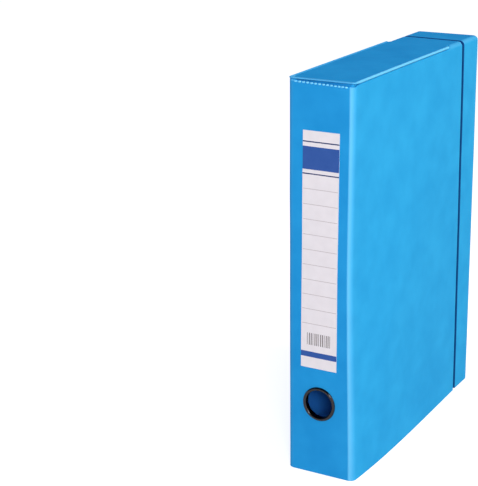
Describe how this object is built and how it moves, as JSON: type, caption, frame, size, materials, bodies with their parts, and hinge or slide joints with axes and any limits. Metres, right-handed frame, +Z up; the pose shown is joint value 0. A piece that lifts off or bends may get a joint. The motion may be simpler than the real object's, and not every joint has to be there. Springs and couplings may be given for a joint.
{
  "type": "archive storage box",
  "caption": "Tall film-covered board box file with a finger ring and a blank ruled label on its spine, and an end lid that swings open on a film hinge.",
  "frame": {"origin": "centre of the base, halfway between the rim of the finger ring and the lid's rear panel", "axes": "+Z up, -Y out of the spine, +Y towards the lid, X across the width"},
  "size_m": [0.0596, 0.2416, 0.32],
  "materials": {
    "cover_film": "satin film over board, fine grain",
    "hinge_film": "satin film",
    "ring_metal": "polished",
    "label_paper": "smooth matt paper"
  },
  "bodies": {
    "body": {"body_wrap": "cover_film", "body_top_panel": "cover_film", "body_bottom_panel": "cover_film", "finger_ring": "ring_metal", "spine_label": "label_paper", "hinge_film": "hinge_film"},
    "lid": {"lid_wrap": "cover_film", "lid_top_flap": "cover_film", "lid_bottom_flap": "cover_film"}
  },
  "joints": [
    {"name": "lid_hinge", "type": "hinge", "parent": "body", "child": "lid", "pos_m": [-0.0293, 0.08725, 0.16], "axis": [0, 0, 1], "range_deg": [0, 175], "deforming": ["hinge_film"]}
  ]
}
